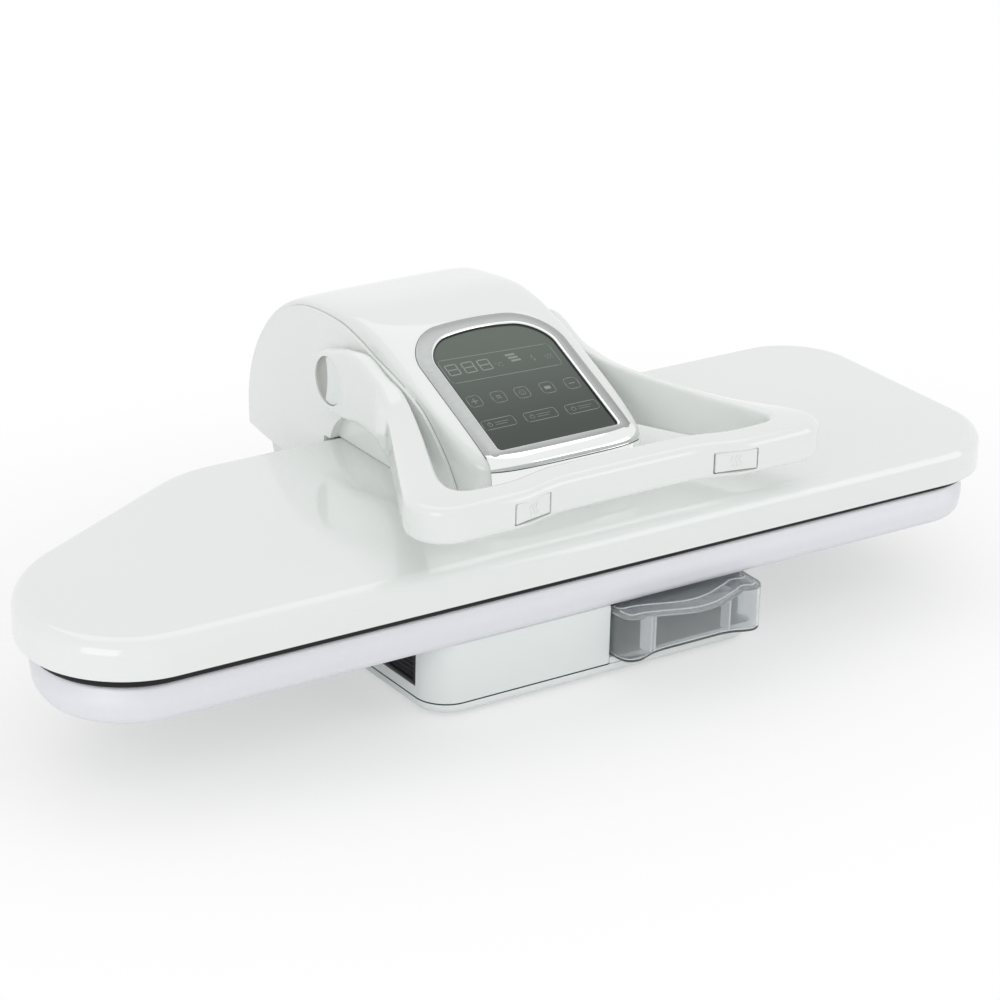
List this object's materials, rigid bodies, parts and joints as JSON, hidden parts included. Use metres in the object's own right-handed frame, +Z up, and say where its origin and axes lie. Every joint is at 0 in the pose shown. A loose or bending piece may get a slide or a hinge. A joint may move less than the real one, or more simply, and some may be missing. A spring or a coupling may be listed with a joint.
{
  "type": "steam ironing press",
  "caption": "Table-top steam ironing press: a padded board on a base with a slide-out water tank, under a hinged heated press with a U-shaped handle and a touch display.",
  "frame": {"origin": "under the middle of the whole object, on the surface that its feet stand on", "axes": "X along the board from the nose to the square end, Y from the user to the hinge, Z up"},
  "size_m": [0.9, 0.4714, 0.2569],
  "materials": {
    "white_gloss": "gloss",
    "white_satin": "satin",
    "chrome": "polished",
    "display_glass": "gloss",
    "black_plastic": "satin",
    "plate_coat": "dark non-stick coat",
    "zinc_steel": "satin",
    "spring_steel": "satin",
    "silver_cloth": "satin",
    "pad_foam": "matt",
    "felt": "matt",
    "clear_grey": "clear",
    "rubber": "matt",
    "brass": "satin",
    "circuit_board": "satin"
  },
  "bodies": {
    "base": {"base_housing": "white_satin", "base_tray": "white_satin", "tank_shelf": "white_satin", "foot_front_left": "rubber", "foot_front_right": "rubber", "foot_back_left": "rubber", "foot_back_right": "rubber", "vent_grille": "black_plastic", "board_pan": "zinc_steel", "board_foam": "pad_foam", "board_cloth": "silver_cloth", "board_rail_left": "zinc_steel", "board_rail_right": "zinc_steel", "rear_column": "white_satin", "hinge_bracket_left": "zinc_steel", "hinge_bracket_right": "zinc_steel", "hinge_pin": "zinc_steel", "lift_spring": "spring_steel", "water_pump": "black_plastic", "power_board": "circuit_board", "cord_gland": "black_plastic", "valve_socket": "rubber"},
    "water_tank_unit": {"water_tank": "clear_grey", "tank_lid": "clear_grey", "tank_valve": "black_plastic"},
    "press": {"press_cover": "white_gloss", "heat_plate": "plate_coat", "heating_element": "zinc_steel", "insulation_mat": "felt", "plate_rim": "black_plastic", "thermostat": "brass", "press_arm_left": "zinc_steel", "press_arm_right": "zinc_steel", "hinge_bush_left": "brass", "hinge_bush_right": "brass", "arm_tie_plate": "zinc_steel", "hood_skin": "white_gloss", "side_cover_left": "white_gloss", "side_cover_right": "white_gloss", "chrome_frame": "chrome", "display_glass": "display_glass", "display_module": "circuit_board", "chrome_trim": "chrome"},
    "handle_unit": {"handle": "white_gloss", "handle_shaft": "zinc_steel", "pivot_cap_left": "white_satin", "pivot_cap_right": "white_satin", "steam_switch_left": "black_plastic", "steam_switch_right": "black_plastic"},
    "steam_button_left_unit": {"steam_button_left": "white_gloss"},
    "steam_button_right_unit": {"steam_button_right": "white_gloss"}
  },
  "joints": [
    {"name": "press_hinge", "type": "hinge", "parent": "base", "child": "press", "pos_m": [0.0325, 0.11025, 0.1246], "axis": [-1, 0, 0], "range_deg": [0, 50]},
    {"name": "handle_pivot", "type": "hinge", "parent": "press", "child": "handle_unit", "pos_m": [0.0325, 0.06525, 0.1986], "axis": [-1, 0, 0], "range_deg": [0, 15]},
    {"name": "steam_button_left_press", "type": "slide", "parent": "handle_unit", "child": "steam_button_left_unit", "axis": [-0.2079, 0.9781, 0], "range_m": [0, 0.0025], "stiffness_N_per_m": 800},
    {"name": "steam_button_right_press", "type": "slide", "parent": "handle_unit", "child": "steam_button_right_unit", "axis": [0.2079, 0.9781, 0], "range_m": [0, 0.0025], "stiffness_N_per_m": 800},
    {"name": "water_tank_slide", "type": "slide", "parent": "base", "child": "water_tank_unit", "axis": [0, -1, 0], "range_m": [0, 0.135]}
  ],
  "couplings": [
    {"joint": "handle_pivot", "follows": "press_hinge", "ratio": 0.3}
  ]
}
